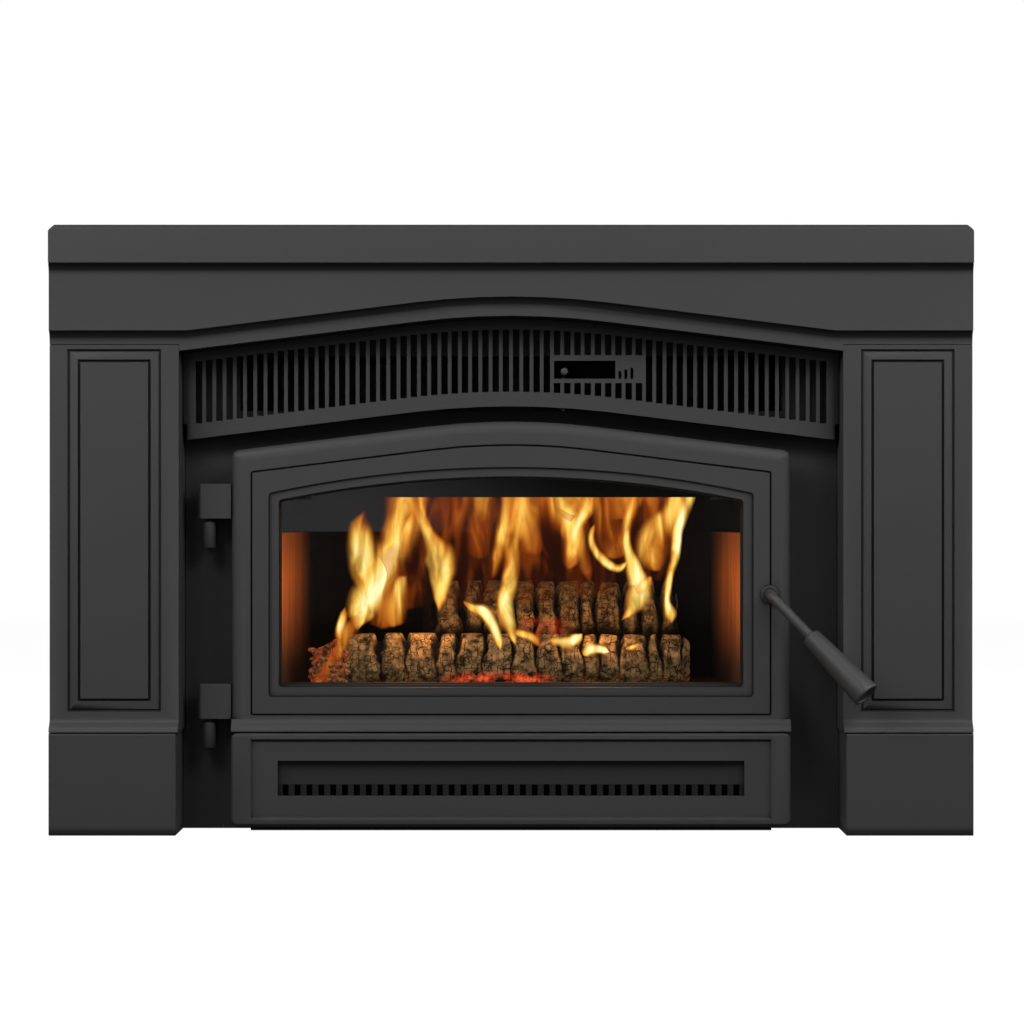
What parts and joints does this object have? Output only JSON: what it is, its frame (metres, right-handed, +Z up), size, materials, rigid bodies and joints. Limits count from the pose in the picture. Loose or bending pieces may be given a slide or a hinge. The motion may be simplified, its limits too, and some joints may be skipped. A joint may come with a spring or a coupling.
{
  "type": "fireplace insert",
  "caption": "Wood-burning fireplace insert with a cast surround, arched louvre grille, glazed door with a lever handle, air control, blower and brick-lined firebox",
  "frame": {"origin": "on the floor, midway across, in the plane of the surround's back face, under the base pan", "axes": "+X to the viewer's right, +Y back into the chimney, +Z up; the door faces -Y"},
  "size_m": [1.118, 0.6134, 0.7384],
  "materials": {
    "cast_iron": "cast iron with a fine-textured satin charcoal stove paint",
    "painted_steel": "steel plate with matt black stove paint",
    "galvanised_steel": "galvanised sheet steel",
    "plain_steel": "plain ground steel",
    "stainless_steel": "stainless steel tempered by heat",
    "firebrick": "pale pressed firebrick, slightly sooted",
    "baffle_board": "pale pressed vermiculite board",
    "rope": "black braided glass-fibre rope and tape",
    "ceramic_glass": "clear heat-resistant ceramic glass, faintly amber",
    "black_plastic": "matt black moulded plastic",
    "charred_wood": "split firewood, charred and cracked"
  },
  "bodies": {
    "root": {"mantel_shelf": "cast_iron", "header_casting": "cast_iron", "pilaster_left": "cast_iron", "pilaster_right": "cast_iron", "plinth_left": "cast_iron", "plinth_right": "cast_iron", "lower_panel": "cast_iron", "body_front_plate": "painted_steel", "mouth_frame": "painted_steel", "firebox_shell": "painted_steel", "flue_collar": "painted_steel", "ember_rail": "painted_steel", "airwash_deflector": "painted_steel", "louvre_grille": "painted_steel", "grille_carrier": "painted_steel", "hinge_pin_upper": "painted_steel", "hinge_pin_lower": "painted_steel", "intake_comb": "painted_steel", "base_pan": "galvanised_steel", "convection_jacket": "galvanised_steel", "blower_motor": "galvanised_steel", "blower_scroll_left": "galvanised_steel", "blower_scroll_right": "galvanised_steel", "latch_strike": "plain_steel", "air_rail_left": "stainless_steel", "air_rail_right": "stainless_steel", "air_tube_front": "stainless_steel", "air_tube_middle": "stainless_steel", "air_tube_rear": "stainless_steel", "brick_left_front": "firebrick", "brick_left_rear": "firebrick", "brick_right_front": "firebrick", "brick_right_rear": "firebrick", "brick_back_left": "firebrick", "brick_back_centre": "firebrick", "brick_back_right": "firebrick", "brick_floor_left": "firebrick", "brick_floor_centre": "firebrick", "brick_floor_right": "firebrick", "baffle_left": "baffle_board", "baffle_right": "baffle_board", "cord_gland": "black_plastic", "log_front": "charred_wood", "log_rear": "charred_wood"},
    "door": {"door_frame": "cast_iron", "door_glass": "ceramic_glass", "glass_gasket": "rope", "glass_retainer": "painted_steel", "door_gasket": "rope", "hinge_knuckle_upper": "cast_iron", "hinge_knuckle_lower": "cast_iron", "handle_bush": "painted_steel"},
    "handle": {"handle_rod": "painted_steel", "handle_grip": "painted_steel", "latch_cam": "plain_steel"},
    "air_control": {"air_control_rod": "plain_steel", "air_damper_plate": "plain_steel"},
    "blower_rotor": {"blower_shaft": "plain_steel", "blower_wheel_left": "galvanised_steel", "blower_wheel_right": "galvanised_steel"}
  },
  "joints": [
    {"name": "door_swing", "type": "hinge", "parent": "root", "child": "door", "pos_m": [-0.3705, -0.031, 0.28], "axis": [0, 0, -1], "range_deg": [0, 95]},
    {"name": "handle_turn", "type": "hinge", "parent": "door", "child": "handle", "pos_m": [0.316, -0.048, 0.2904], "axis": [0, -1, 0], "range_deg": [0, 90]},
    {"name": "air_slide", "type": "slide", "parent": "root", "child": "air_control", "axis": [1, 0, 0], "range_m": [0, 0.054]},
    {"name": "blower_spin", "type": "hinge", "parent": "root", "child": "blower_rotor", "pos_m": [0, 0.092, 0.064], "axis": [1, 0, 0], "continuous": true}
  ]
}
